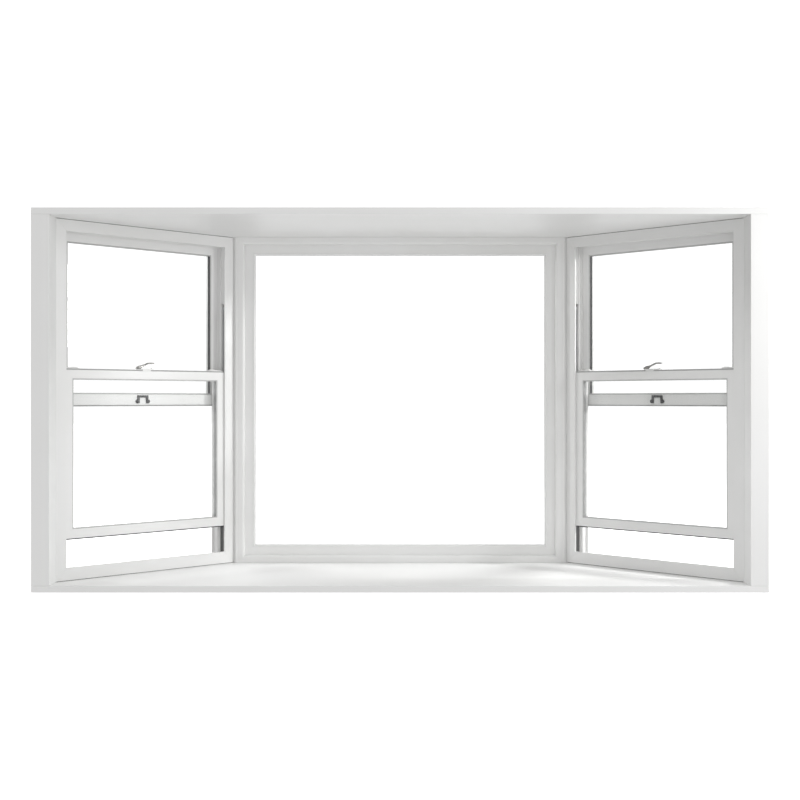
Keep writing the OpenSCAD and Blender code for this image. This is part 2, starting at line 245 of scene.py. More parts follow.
# %% Vinyl
def make_vinyl():
    f = Finish("satin_vinyl")
    broad = f.noise(2.5, 2)
    wiped = f.noise(9, 4)
    peel = f.noise(420, 2)
    colour = f.blend(f.step(broad, 0.3, 0.7), rgb(0.80, 0.80, 0.79), rgb(0.83, 0.83, 0.825))
    return f.plastic(
        Base_Color=colour,
        Roughness=0.3 + wiped * 0.14,
        IOR=1.5,
        Normal=f.bump(peel, 0.06 * MM, 0.5),
    )


vinyl = make_vinyl()
print("made", vinyl.name)

# %% [markdown]
# ## Painted board
# The head board, the seat board and the side jambs are plywood with a white painted face. Paint from
# a roller leaves a fine stipple, and the grain under it telegraphs as long, very shallow waves.

# %% Painted board
def make_board_paint():
    f = Finish("board_paint")
    grain = f.noise(26, 4, stretch=(0.12, 1, 1))
    stipple = f.noise(300, 3)
    broad = f.noise(1.6, 2)
    colour = f.blend(f.step(broad, 0.3, 0.7), rgb(0.81, 0.81, 0.80), rgb(0.84, 0.84, 0.835))
    return f.plastic(
        Base_Color=colour,
        Roughness=0.42 + grain * 0.12,
        Normal=f.bump(grain * 0.6 + stipple * 0.4, 0.15 * MM, 0.6),
    )


board_paint = make_board_paint()
print("made", board_paint.name)

# %% [markdown]
# ## Clear glass
# Seen straight on, clean glass is nearly nothing: it lets the view through and mirrors a little, more
# at a glancing angle. Mixing a transparent shader with a sharp gloss by Fresnel gives just that, and
# it renders without the noise of true refraction. Light on its way to what lies behind the pane takes
# no mirror share, or the parts behind four glass faces would turn out too dark.

# %% Glass
MIRROR_SHARE = 0.4


def make_glass():
    f = Finish("clear_glass")
    clear = f.node("ShaderNodeBsdfTransparent", None, {"Color": rgb(0.999, 1, 0.9995)})
    ripple = f.bump(f.noise(3, 1), 0.2 * MM, 0.15)
    gloss = f.node("ShaderNodeBsdfGlossy", None, {
        "Color": rgb(1, 1, 1), "Roughness": 0.01, "Normal": ripple})
    facing = f.node("ShaderNodeFresnel", None, {"IOR": 1.45})
    passing = f.node("ShaderNodeLightPath", out="Is Shadow Ray")
    scattered = f.node("ShaderNodeLightPath", out="Is Diffuse Ray")
    mirror = facing * MIRROR_SHARE * (1 - passing) * (1 - scattered)
    return f.surface(f.node("ShaderNodeMixShader", None, {0: mirror, 1: clear, 2: gloss}))


glass = make_glass()
print("made", glass.name)

# %% [markdown]
# ## Rubber, foam, brush and painted shade
# Soft things close the gaps: a lip seals the glass, spacer bars part its panes, a bulb and a brush
# seal each sash, and a dark strip fills the joint to the boards. They share one recipe, a dull
# surface with dust in patches and fine pores, and differ in shade and gloss. Several of these shades
# are painted light and shade: the two spacer finishes are one spacer bar in painted shade and in
# painted light, the joint strip's dark grey is painted shade in the gap, the grey of the lip and of
# the brush is partly painted shade along the glass and the rails, and the black plastic is painted
# shade in the deep pockets. The brush has a recipe of its own, a noise stretched along its height,
# so that the bump looks like fibres.

# %% Rubber, foam and brush
def make_rubber(name, dark, light, rough):
    f = Finish(name)
    dust = f.noise(35, 4)
    return f.plastic(
        Base_Color=f.blend(f.step(dust, 0.45, 0.75), dark, light),
        Roughness=rough + dust * 0.15,
        Normal=f.bump(f.noise(500, 2), 0.1 * MM, 0.5),
    )


def make_brush_seal():
    f = Finish("brush_seal_painted_shade")
    fibre = f.noise(900, 2, stretch=(1, 1, 0.15))
    # The brush's grey is partly painted shade: it stands for the shade in the rebate along the rail.
    colour = f.blend(fibre, rgb(0.30, 0.30, 0.30), rgb(0.50, 0.50, 0.495))
    return f.plastic(Base_Color=colour, Roughness=0.9, Normal=f.bump(fibre, 0.6 * MM, 0.8))


gasket_rubber = make_rubber("gasket_rubber", rgb(0.03, 0.03, 0.032), rgb(0.06, 0.06, 0.06), 0.5)
# One spacer bar in two finishes: near black as painted shade for the upper sashes, grey as painted
# light for the others.
spacer_painted_shade = make_rubber("spacer_painted_shade", rgb(0.03, 0.03, 0.032), rgb(0.05, 0.05, 0.052), 0.7)
spacer_grey = make_rubber("spacer_grey", rgb(0.38, 0.38, 0.38), rgb(0.46, 0.46, 0.46), 0.5)
# The lip's mid grey is partly painted shade: it stands for the shade on the bead's return at the edge
# of the glass.
glazing_lip_painted_shade = make_rubber("glazing_lip_painted_shade", rgb(0.5, 0.5, 0.495), rgb(0.56, 0.56, 0.555), 0.6)
# The joint strip's dark grey is painted shade: it stands for the shadow in the gap between frame and
# board.
seam_painted_shade = make_rubber("seam_painted_shade", rgb(0.22, 0.22, 0.22), rgb(0.3, 0.3, 0.3), 0.8)
# Black as painted shade: it darkens the deep pockets and the hole at each balance's top.
dark_plastic_painted_shade = make_rubber("dark_plastic_painted_shade", rgb(0.03, 0.03, 0.03), rgb(0.05, 0.05, 0.05), 0.35)
brush_seal_painted_shade = make_brush_seal()
print("made six soft finishes and", brush_seal_painted_shade.name)

# %% [markdown]
# ## Metals
# The lock's lever is brushed nickel: a metal whose gloss is broken by fine parallel scratches. Its
# base has a white enamel, whose pale colour is partly a painted highlight for the bright sheen of
# the base's metal. The keeper has a dark grey paint that is worn where the cam slides, and the
# balances are galvanised steel with the cloudy spangle that zinc leaves.

# %% Metals
def make_nickel():
    f = Finish("brushed_nickel")
    scratch = f.noise(600, 3, stretch=(0.04, 0.04, 1))
    smear = f.noise(60, 3)
    colour = f.blend(smear, rgb(0.16, 0.155, 0.15), rgb(0.27, 0.265, 0.255))
    return f.plastic(
        Base_Color=colour,
        Metallic=1.0,
        Roughness=0.26 + scratch * 0.16,
        Normal=f.bump(scratch, 0.08 * MM, 0.5),
    )


def make_keeper_paint():
    f = Finish("keeper_paint")
    worn = f.step(f.noise(160, 5), 0.62, 0.7)
    return f.plastic(
        Base_Color=f.blend(worn, rgb(0.055, 0.055, 0.057), rgb(0.2, 0.2, 0.2)),
        Metallic=worn * 0.8,
        Roughness=0.42,
        Normal=f.bump(f.noise(700, 2), 0.1 * MM, 0.5),
    )


def make_zinc():
    f = Finish("galvanised_steel")
    spangle = f.node("ShaderNodeTexVoronoi", None, {"Vector": f.place, "Scale": 140.0})
    return f.plastic(
        Base_Color=f.blend(spangle, rgb(0.42, 0.42, 0.43), rgb(0.58, 0.58, 0.59)),
        Metallic=1.0,
        Roughness=0.45 + spangle * 0.2,
    )


def make_enamel_painted_highlight():
    f = Finish("white_enamel_painted_highlight")
    wear = f.noise(90, 4)
    # The pale base colour is partly a painted highlight: it stands for the sheen of the lock base's
    # metal.
    colour = f.blend(f.step(wear, 0.5, 0.8), rgb(0.78, 0.78, 0.77), rgb(0.7, 0.7, 0.69))
    return f.plastic(
        Base_Color=colour,
        Roughness=0.22 + wear * 0.1,
        Normal=f.bump(f.noise(350, 2), 0.05 * MM, 0.4),
    )


nickel, keeper_paint, zinc = make_nickel(), make_keeper_paint(), make_zinc()
white_enamel_painted_highlight = make_enamel_painted_highlight()
print("made", nickel.name, keeper_paint.name, zinc.name, white_enamel_painted_highlight.name)

# %% [markdown]
# ## Turning lists into pieces
# Every piece is made of points and faces in its window's own coordinates, so one function can place
# it, give it its finish, round its edges with a bevel and tell the frame which body it rides on.

# %% The piece maker
ROUND_OVER = math.radians(28)


def piece_from_mesh(name, mesh, finish, rounding=0.0, segments=3, replaces=()):
    mesh.materials.clear()
    mesh.materials.append(finish)
    for polygon in mesh.polygons:
        polygon.use_smooth = True
    mesh.set_sharp_from_angle(angle=ROUND_OVER)
    piece = bpy.data.objects.new(name, mesh)
    bpy.context.scene.collection.objects.link(piece)
    if rounding:
        bevel = piece.modifiers.new("rounded edges", "BEVEL")
        bevel.width = rounding
        bevel.segments = segments
        bevel.limit_method = "ANGLE"
        bevel.angle_limit = ROUND_OVER
        bevel.harden_normals = True
    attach(piece, "root")
    if replaces:
        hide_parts(*replaces)


def piece_from_lists(name, points, faces, finish, window, **how):
    """Makes a closed piece from points in a window's own coordinates."""
    mesh = bpy.data.meshes.new(name)
    mesh.from_pydata([Vector(p) for p in points], [], faces)
    mesh.transform(PLACES[window])
    tidy = bmesh.new()
    tidy.from_mesh(mesh)
    bmesh.ops.recalc_face_normals(tidy, faces=tidy.faces)
    tidy.to_mesh(mesh)
    tidy.free()
    piece_from_mesh(name, mesh, finish, **how)


# %% [markdown]
# ## Rounded members
# A sharp CAD edge catches no light, and a real one always does. The member's mesh is copied, its flat
# triangles are merged back into whole faces, and a bevel rounds every edge. The copy stands for the
# CAD node, so the size and place stay exactly as designed.

# %% Round the boards
SAME_POINT = 0.01 * MM
FLAT = math.radians(0.5)
SOFT_RADIUS, SOFT_SEGMENTS = 10 * MM, 6


def rounded(node, finish, rounding, segments=3, soft_edge=None):
    """A copy of a CAD node with rounded edges, which stands for it."""
    copy = bmesh.new()
    copy.from_mesh(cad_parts[node].data)
    bmesh.ops.remove_doubles(copy, verts=copy.verts, dist=SAME_POINT)
    bmesh.ops.dissolve_limit(copy, angle_limit=FLAT, verts=copy.verts, edges=copy.edges)
    if soft_edge:
        edges = [edge for edge in copy.edges if all(map(soft_edge, edge.verts))]
        bmesh.ops.bevel(
            copy, geom=edges, offset=SOFT_RADIUS, segments=SOFT_SEGMENTS, profile=0.5,
            affect="EDGES")
    mesh = bpy.data.meshes.new(node)
    copy.to_mesh(mesh)
    copy.free()
    piece_from_mesh(node + "_rounded", mesh, finish, rounding, segments, (node,))


BOARDS = ["head_board", "seat_board", "left_side_jamb", "right_side_jamb"]
BOARD_ROUNDING = 1.5 * MM
for board in BOARDS:
    rounded(board, board_paint, BOARD_ROUNDING)
print("rounded", len(BOARDS), "boards")

# %% [markdown]
# ## The picture window's soft inner edge
# The picture frame drops to its sash in a quarter round, not in a sharp step, and this edge catches
# a long highlight. Only the edges on the frame's face and inside its outline are picked, and they get
# one wide bevel before the fine one that every member has. The corners are mitred, so the rounds meet.

# %% Round the picture frame
VINYL_ROUNDING = 0.9 * MM
ON_FACE, INSIDE = 0.1 * MM, 20 * MM
FRAME_PARTS = ("head", "sill", "left_jamb", "right_jamb")
frame_low = Vector(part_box("picture_left_jamb")[0])
frame_high = Vector(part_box("picture_right_jamb")[1])


def on_inner_edge(vertex):
    """Whether a vertex of the picture frame lies on its room side inner edge."""
    on_face = abs(vertex.co.y - frame_low.y) < ON_FACE
    inside_x = frame_low.x + INSIDE < vertex.co.x < frame_high.x - INSIDE
    inside_z = frame_low.z + INSIDE < vertex.co.z < frame_high.z - INSIDE
    return on_face and inside_x and inside_z


for part in FRAME_PARTS:
    rounded("picture_" + part, vinyl, VINYL_ROUNDING, soft_edge=on_inner_edge)
print("rounded", len(FRAME_PARTS), "parts of the picture frame")

# %% [markdown]
# ## The other vinyl members
# Sashes, side frames, mull posts, their covers and the pocket covers are all white vinyl bars with
# tight corners, so one list and one rounding serve them all.

# %% Round the other vinyl members
MEMBERS = ["picture_sash"]
for side in SIDES:
    MEMBERS += [side + "_mull_post", side + "_mull_cover", side + "_pocket_covers"]
    MEMBERS += [f"{side}_window_{part}" for part in ("head", "sill", "wall_jamb", "mull_jamb")]
    MEMBERS += [f"{side}_{part}_sash" for part in ("upper", "lower")]
for member in MEMBERS:
    rounded(member, vinyl, VINYL_ROUNDING)
print("rounded", len(MEMBERS), "vinyl members")

# %% [markdown]
# ## The panes
# A pane already has its true shape, so the CAD nodes of the glass stay and only get their finish.

# %% Give the panes their finish
GLAZING = [("picture", "picture_glass", "picture_sash")]
for side in SIDES:
    GLAZING += [(side, f"{side}_{part}_glass", f"{side}_{part}_sash") for part in ("upper", "lower")]

for window, pane, sash in GLAZING:
    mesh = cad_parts[pane].data
    mesh.materials.clear()
    mesh.materials.append(glass)
print("glazed", len(GLAZING), "sashes")

# %% [markdown]
# ## Sweeping a profile round an opening
# Beads, lips and spacer bars all run round a sash's opening with mitred corners, so one function
# sweeps a small profile round a rectangle. The profile is drawn as distance out from the daylight
# edge and depth behind a face, and only its points at the four corners are needed.

# %% Sweep a profile round an opening
GLASS_BITE = 12.5 * MM


def daylight(pane, window):
    """The opening of a sash as x, z, width and height, and the depth of its glass."""
    low, high = local_box(pane, window)
    width = high.x - low.x - 2 * GLASS_BITE
    height = high.z - low.z - 2 * GLASS_BITE
    return low.x + GLASS_BITE, low.z + GLASS_BITE, width, height, low.y


def ring_points(opening, profile):
    """The profile's points at each corner of the opening, and the faces of the swept ring."""
    x, z, width, height = opening
    points, faces, count = [], [], len(profile)
    for right, up in ((0, 0), (1, 0), (1, 1), (0, 1)):
        for out, depth in profile:
            points.append((
                x + right * width + (out if right else -out), depth,
                z + up * height + (out if up else -out)))
    for corner in range(4):
        here, there = corner * count, (corner + 1) % 4 * count
        for i in range(count):
            j = (i + 1) % count
            faces.append((here + i, here + j, there + j, there + i))
    return points, faces


print("opening of the picture window:", [round(v, 4) for v in daylight("picture_glass", "picture")])

# %% [markdown]
# ## Beads, lips and spacers
# The glass is held from the room side by a bead that snaps into the sash, with a thin grey lip against
# the pane; the lip's grey is partly painted shade along the edge of the glass. The picture window's
# bead stands steeper than the others. Behind the lip, a spacer bar parts the two panes. The bars are
# alike: the upper sashes' bar is near black as painted shade, and the others are grey as painted
# light.

# %% Beads, lips and spacers
# profiles in mm: out from the daylight edge, and depth behind the sash's face or the glass's
BEAD = [(11.7, 0.6), (11.2, -0.05), (10.5, -0.15), (7.5, 0.5), (4.7, 1.1), (4.3, 1.5),
        (4.3, 3.4), (11.7, 3.4)]
PICTURE_BEAD = [(11.7, 0.6), (11.2, -0.05), (10.5, -0.15), (8.2, 0.2), (7.3, -0.6), (6.4, -0.9),
                (5.5, -0.6), (0.9, 2.9), (0.2, 3.6), (0.2, 4.2), (11.7, 4.2)]
LIP = [(4.6, 1.7), (2.0, 2.0), (0.2, 2.5), (-0.25, 3.1), (-0.1, 4.2), (4.6, 4.2)]
PICTURE_LIP = [(0.9, 3.5), (0.2, 3.5), (-0.25, 3.8), (-0.1, 4.2), (0.9, 4.2)]
SPACER = [(1.4, 3.05), (1.0, 3.6), (1.0, 14.8), (1.4, 15.35), (9.4, 15.35), (9.4, 3.05)]

SPACER_NODES = {
    "picture": ("picture_spacer",),
    "left_upper": ("left_glass_spacers",),
    "right_upper": ("right_glass_spacers",),
}
BEAD_ROUNDING = 0.3 * MM


def placed(profile, depth):
    """A profile in metres, behind a face at that depth."""
    return [(out * MM, depth + behind * MM) for out, behind in profile]


for window, pane, sash in GLAZING:
    *opening, glass_y = daylight(pane, window)
    face_y = local_box(sash, window)[0].y
    bead, lip = (PICTURE_BEAD, PICTURE_LIP) if window == "picture" else (BEAD, LIP)
    name = sash.replace("_sash", "")
    piece_from_lists(
        name + "_bead", *ring_points(opening, placed(bead, face_y)), vinyl, window,
        rounding=BEAD_ROUNDING)
    piece_from_lists(
        name + "_lip", *ring_points(opening, placed(lip, face_y)), glazing_lip_painted_shade, window)
    # The spacer bars are alike; the upper sashes' bars take the painted shade finish, the others the
    # painted light one.
    piece_from_lists(
        name + "_spacer", *ring_points(opening, placed(SPACER, glass_y)),
        spacer_painted_shade if "upper" in name else spacer_grey, window,
        replaces=SPACER_NODES.get(name, ()))
print("beads, lips and spacers:", len(GLAZING), "each")

# %% [markdown]
# ## Skins for seals and hardware
# A seal, a lever or a screw head can all be seen as a row of closed outlines with a skin between
# them. One function joins the outlines and caps both ends, and small functions draw the outlines.

# %% Skins and outlines
def skin(outlines):
    """Points and faces of the solid between closed outlines of equal count."""
    count = len(outlines[0])
    points = [point for outline in outlines for point in outline]
    faces = []
    for row in range(len(outlines) - 1):
        for i in range(count):
            j = (i + 1) % count
            here, there = row * count, (row + 1) * count
            faces.append((here + i, here + j, there + j, there + i))
    faces.append(tuple(range(count)))
    faces.append(tuple(range(len(points) - count, len(points))))
    return points, faces


def straight(start, end, profile):
    """A bar from one x to another with a profile of (y, z) points."""
    return skin([[(x, y, z) for y, z in profile] for x in (start, end)])


def join(*solids):
    """Several solids as one list of points and one of faces."""
    points, faces = [], []
    for more_points, more_faces in solids:
        faces += [tuple(i + len(points) for i in face) for face in more_faces]
        points += more_points
    return points, faces


def stadium(centre, length, depth, z, steps=8):
    """A level outline with two straight sides and round ends, long in x."""
    radius = depth / 2
    outline = []
    for end, start in ((1, -90), (-1, 90)):
        for step in range(steps + 1):
            angle = math.radians(start + 180 * step / steps)
            outline.append((
                centre[0] + end * (length / 2 - radius) + radius * math.cos(angle),
                centre[1] + radius * math.sin(angle), z))
    return outline


print("outline tools ready")

# %% [markdown]
# ## Seals on the sliding sashes
# A grey brush strip lies in the rebate along the top of the lower sash and along the bottom of the
# upper one, where the two meeting rails pass. Its grey is partly painted shade: it stands for the
# shade in the rebate along each rail. A dark rubber bulb hangs under the lower sash and closes on the
# sill. All three are pushed into a groove along the whole rail. A seal keeps one profile from end to
# end, so it is a skin between two outlines.

# %% Sash seals
SEAL_HEIGHT, SEAL_DEPTH = 5 * MM, 3 * MM
SEAL_PLAY, SEAL_END, SEAL_CORNER = 0.2 * MM, 1 * MM, 0.9 * MM
BULB_DROP, BULB_MIDDLE, BULB_LAP = 4.5 * MM, 6 * MM, 0.3 * MM
BULB_STEPS = 12

for side in SIDES:
    low, high = local_box(side + "_lower_sash", side)
    ends = (low.x + SEAL_END, high.x - SEAL_END)
    back = low.y + SEAL_DEPTH - SEAL_PLAY / 2
    brush = [
        (low.y + 0.5 * MM, high.z - SEAL_HEIGHT + SEAL_PLAY),
        (low.y + SEAL_PLAY, high.z - SEAL_CORNER),
        (low.y + SEAL_CORNER, high.z - SEAL_PLAY),
        (back, high.z - SEAL_PLAY),
        (back, high.z - SEAL_HEIGHT + SEAL_PLAY),
    ]
    piece_from_lists(side + "_lower_brush", *straight(*ends, brush), brush_seal_painted_shade, side)
    bulb = []
    for step in range(BULB_STEPS + 1):
        angle = math.radians(180 + 180 * step / BULB_STEPS)
        bulb.append((
            low.y + BULB_MIDDLE + BULB_DROP * math.cos(angle),
            low.z + BULB_LAP + BULB_DROP * math.sin(angle)))
    piece_from_lists(side + "_bulb_seal", *straight(*ends, bulb), gasket_rubber, side)

    low = local_box(side + "_upper_sash", side)[0]
    back = low.y + SEAL_DEPTH - SEAL_PLAY / 2
    brush = [
        (low.y + SEAL_PLAY / 2, low.z + SEAL_HEIGHT - SEAL_PLAY),
        (low.y + SEAL_PLAY, low.z + SEAL_CORNER),
        (low.y + SEAL_CORNER, low.z + SEAL_PLAY),
        (back, low.z + SEAL_PLAY),
        (back, low.z + SEAL_HEIGHT - SEAL_PLAY),
    ]
    piece_from_lists(side + "_upper_brush", *straight(*ends, brush), brush_seal_painted_shade, side)
print("sash seals:", 3 * len(SIDES))

# %% [markdown]
# ## Painted shade along the boards
# Between each frame and the two boards the maker leaves a small groove, and a dark strip in it stays
# a little back from the face. Its dark grey is painted shade: it makes the thin dark line of shadow
# above and below a window.

# %% Painted shade strips
REBATE_DEPTH, REBATE_HEIGHT = 4 * MM, 2 * MM
SEAM_SHADE_PLAY, SEAM_SHADE_SET_BACK, SEAM_SHADE_END = 0.1 * MM, 1.5 * MM, 5 * MM
picture_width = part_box("picture_head")[1].x - picture_low.x

for window in PLACES:
    width = side_width if window in SIDES else picture_width
    for edge, rebate in (("sill", 0), ("head", frame_height - REBATE_HEIGHT)):
        front, back = SEAM_SHADE_SET_BACK, REBATE_DEPTH - SEAM_SHADE_PLAY
        bottom, top = rebate + SEAM_SHADE_PLAY, rebate + REBATE_HEIGHT - SEAM_SHADE_PLAY
        strip = [(front, bottom), (back, bottom), (back, top), (front, top)]
        piece_from_lists(
            f"{window}_{edge}_seam_shade", *straight(SEAM_SHADE_END, width - SEAM_SHADE_END, strip), seam_painted_shade,
            window)
print("foam strips:", 2 * len(PLACES))

# %% [markdown]
# ## The sash lock's levers
# The lever turns on a hub at the left, rises in an arch and ends in a flat thumb pad. It stands open,
# as it must before the sash can be raised. A cast lever has no sharp edge anywhere, so it is a skin
# over soft outlines: a power below one on the sine and the cosine makes a circle squarer.

# %% Levers
OUTLINE_POINTS = 16
POINT_ANGLES = [math.radians(360 / OUTLINE_POINTS * (i + 0.5)) for i in range(OUTLINE_POINTS)]
SQUARER_ACROSS, SQUARER_UP = 0.55, 0.6
LEVER_SHAPE = [
    # place along the lever, underside, top and half depth, all in mm from the hub end
    (0.4, 1.6, 3.0, 3.4), (1.2, 0.5, 4.6, 5.0), (3.5, 0.1, 6.2, 6.1), (8, 0.1, 8.4, 6.5),
    (14, 0.1, 10.4, 6.5), (19, 0.2, 11.3, 6.3), (24, 3.6, 11.8, 5.6), (29, 6.9, 13.2, 5.0),
    (35, 9.5, 15.4, 4.8), (41, 11.8, 17.8, 4.9), (46, 14.4, 20.0, 5.4), (52, 16.2, 21.8, 6.1),
    (58, 16.8, 22.3, 6.5), (66, 16.8, 22.4, 6.5), (72, 17.0, 22.2, 6.3), (75.4, 17.6, 21.6, 5.4),
    (76.6, 18.8, 20.6, 3.6),
]


def lever_outline(hub_x, middle_y, seat, along, under, top, half_depth):
    """A rounded section of the lever."""
    centre_z, half_height = (under + top) / 2, (top - under) / 2
    outline = []
    for angle in POINT_ANGLES:
        cos, sin = math.cos(angle), math.sin(angle)
        across = math.copysign(abs(cos) ** SQUARER_ACROSS, cos) * half_depth
        upward = math.copysign(abs(sin) ** SQUARER_UP, sin) * half_height
        outline.append((
            hub_x + along * MM, middle_y + across * MM, seat + (centre_z + upward) * MM))
    return outline


for side in SIDES:
    low, high = local_box(side + "_lock_lever", side)
    outlines = [lever_outline(low.x, (low.y + high.y) / 2, low.z, *station)
                for station in LEVER_SHAPE]
    piece_from_lists(
        side + "_lever", *skin(outlines), nickel, side, replaces=(side + "_lock_lever",))
print("levers:", len(SIDES), "of", len(LEVER_SHAPE), "outlines each")

# %% [markdown]
# ## The sash lock's bases
# The base is a low bar with round ends and a crowned top. A tab at its front hooks over the edge of
# the rail. Outlines that shrink as they rise give the crown, and the tab is four outlines in a row.

# %% Lock bases
CROWN = ((0, 0), (0.6, 0), (0.85, 0.5), (0.97, 1.6), (1, 3.2))
TAB_RISE = ((-4.6, 1.5), (-3.6, 0), (0.6, 0), (1.2, 0.8))
TAB_LEFT, TAB_RIGHT, TAB_FRONT, TAB_BACK = -20, 14, -0.4, 6

for side in SIDES:
    low, high = local_box(side + "_sash_lock", side)
    middle = ((low.x + high.x) / 2, (low.y + high.y) / 2)
    length, depth, height = high - low
    outlines = []
    for rise, inset in CROWN:
        around = 2 * inset * MM
        outlines.append(stadium(middle, length - around, depth - around, low.z + rise * height))
    rail_y = local_box(side + "_lower_sash", side)[0].y
    tab = []
    for z, inset in TAB_RISE:
        left, right = TAB_LEFT + inset, TAB_RIGHT - inset
        corners = ((left, TAB_FRONT), (right, TAB_FRONT), (right, TAB_BACK), (left, TAB_BACK))
        tab.append([(middle[0] + x * MM, rail_y + y * MM, low.z + z * MM) for x, y in corners])
    piece_from_lists(
        side + "_lock_base", *join(skin(outlines), skin(tab)), white_enamel_painted_highlight, side,
        replaces=(side + "_sash_lock",))
print("lock bases:", len(SIDES))

# %% [markdown]
# ## The lock's screw
# The base is held by screws, and the one that the lever leaves free shows at its right end. It is a
# pan head: a few rings that shrink as they rise, then a cross that sinks into the top.

# %% Lock screws
HEAD_RINGS = ((1, 0), (1, 0.35), (0.86, 0.8), (0.66, 1))
CROSS_ARM, CROSS_NOTCH, CROSS_FLOOR = 0.55, 0.2, 0.45
SCREW_RADIUS, SCREW_HEIGHT, SCREW_FROM_END, SCREW_SUNK = 3.2 * MM, 1.5 * MM, 8 * MM, 0.1 * MM


def screw(centre, radius, height):
    """A pan head with a cross recess, pointing up from its seat."""
    outlines = []
    for share, rise in HEAD_RINGS:
        outlines.append([(
            centre[0] + share * radius * math.cos(angle),
            centre[1] + share * radius * math.sin(angle),
            centre[2] + rise * height) for angle in POINT_ANGLES])
    arm, notch = CROSS_ARM * radius, CROSS_NOTCH * radius
    cross = []
    for quarter in range(4):
        angle = math.radians(90 * quarter)
        cos, sin = math.cos(angle), math.sin(angle)
        for x, y in ((arm, notch / 2), (notch, notch), (notch, notch), (notch / 2, arm)):
            cross.append((centre[0] + x * cos - y * sin, centre[1] + x * sin + y * cos))
    for rise in (1, CROSS_FLOOR):
        outlines.append([(x, y, centre[2] + height * rise) for x, y in cross])
    return skin(outlines)


for side in SIDES:
    low, high = local_box(side + "_sash_lock", side)
    centre = (high.x - SCREW_FROM_END, (low.y + high.y) / 2, high.z - SCREW_SUNK)
    piece_from_lists(
        side + "_lock_screws", *screw(centre, SCREW_RADIUS, SCREW_HEIGHT), nickel, side)
print("lock screws:", len(SIDES))

# %% [markdown]
# ## The keepers
# The lock's cam pulls on an arched keeper with two feet, fixed to the meeting rail of the upper sash.
# Its CAD shape is right, so a rounded copy stands for it.

# %% Keepers
KEEPER_ROUNDING = 0.7 * MM
for side in SIDES:
    rounded(side + "_keeper", keeper_paint, KEEPER_ROUNDING)
print("keepers:", len(SIDES))

# %% [markdown]
# ## Tilt latches
# A sliding latch at each end of the lower sash lets it tilt in for cleaning. The slide is a low
# moulded bar with a few ribs for the finger.

# %% Tilt latches
LATCH_LENGTH, LATCH_STEPS = 62 * MM, 6
LATCH_RISE = ((0, 0), (0.45, 0), (0.62, 0.4), (0.7, 1.4))
RIBS, FIRST_RIB, RIB_PITCH, RIB_HALF = 5, 8, 3.2, 7 * MM
RIB_RISE = ((0.66, 0.9), (0.9, 0.7), (1, 0.3))

for side in SIDES:
    low, high = local_box(side + "_tilt_latches", side)
    middle_y = (low.y + high.y) / 2
    front, back = middle_y - RIB_HALF, middle_y + RIB_HALF
    depth, height = high.y - low.y, high.z - low.z
    solids = []
    for middle_x, way in ((low.x + LATCH_LENGTH / 2, 1), (high.x - LATCH_LENGTH / 2, -1)):
        outlines = []
        for rise, inset in LATCH_RISE:
            around = 2 * inset * MM
            outlines.append(stadium(
                (middle_x, middle_y), LATCH_LENGTH - around, depth - around,
                low.z + rise * height, LATCH_STEPS))
        solids.append(skin(outlines))
        for rib in range(RIBS):
            x = middle_x + way * (FIRST_RIB + RIB_PITCH * rib) * MM
            outlines = []
            for rise, half in RIB_RISE:
                left, right, z = x - half * MM, x + half * MM, low.z + rise * height
                outlines.append([(left, front, z), (right, front, z), (right, back, z),
                                 (left, back, z)])
            solids.append(skin(outlines))
    piece_from_lists(
        side + "_latches", *join(*solids), vinyl, side, replaces=(side + "_tilt_latches",))
print("tilt latches:", 2 * len(SIDES))

# %% [markdown]
# ## The balances
# A spring in a steel channel on each side carries the lower sash. The channel keeps its CAD shape
# with rounded edges, and a dark moulded guide with softened ends closes its top. The guide's black is
# partly painted shade: it stands for the dark hole at the top of the balance.

# %% Balances and their top guides
BALANCE_ROUNDING, BALANCE_SEGMENTS = 0.4 * MM, 2
GUIDE_WIDTH, GUIDE_BELOW, GUIDE_ABOVE = 15 * MM, 6 * MM, 5.5 * MM
GUIDE_FRONT, GUIDE_BACK = 0.5 * MM, 12 * MM
FOOT_RISE, FOOT_INSET, TIP_DROP, TIP_INSET = 1 * MM, 0.8 * MM, 3 * MM, 2 * MM

for side in SIDES:
    rounded(side + "_balances", zinc, BALANCE_ROUNDING, BALANCE_SEGMENTS)
    low, high = local_box(side + "_balances", side)
    bottom, top = high.z - GUIDE_BELOW, high.z + GUIDE_ABOVE
    front, back = low.y + GUIDE_FRONT, low.y + GUIDE_BACK
    solids = []
    for start, end in ((low.x, low.x + GUIDE_WIDTH), (high.x - GUIDE_WIDTH, high.x)):
        outlines = []
        for z, inset in ((bottom, FOOT_INSET), (bottom + FOOT_RISE, 0),
                         (top - TIP_DROP, 0), (top, TIP_INSET)):
            outlines.append([
                (start + inset, front + inset, z), (end - inset, front + inset, z),
                (end - inset, back - inset, z), (start + inset, back - inset, z)])
        solids.append(skin(outlines))
    piece_from_lists(side + "_balance_guides", *join(*solids), dark_plastic_painted_shade, side)
print("balances and guides:", 2 * len(SIDES))

# %% [markdown]
# ## Painted shade in the pockets
# Below the raised sash the pocket of each jamb shows its inside, where the shoe that the balance
# hangs on runs. Two black bars from the sill to the sash's foot line it on each side. Their black is
# painted shade: it stands for the shadow deep in the pocket.

# %% Painted shade in the pockets
# profiles in mm, from the frame's outer edge and behind its face
POCKET_SHADE_BARS = [
    ((17, 9.6), (33.4, 9.6), (33.4, 30.6), (17, 30.6)),
    ((34.05, 9.2), (34.7, 9.8), (34.7, 36.4), (34.05, 37)),
]
SHADE_BAR_FOOT, SHADE_BAR_PLAY = 21.4 * MM, 1 * MM

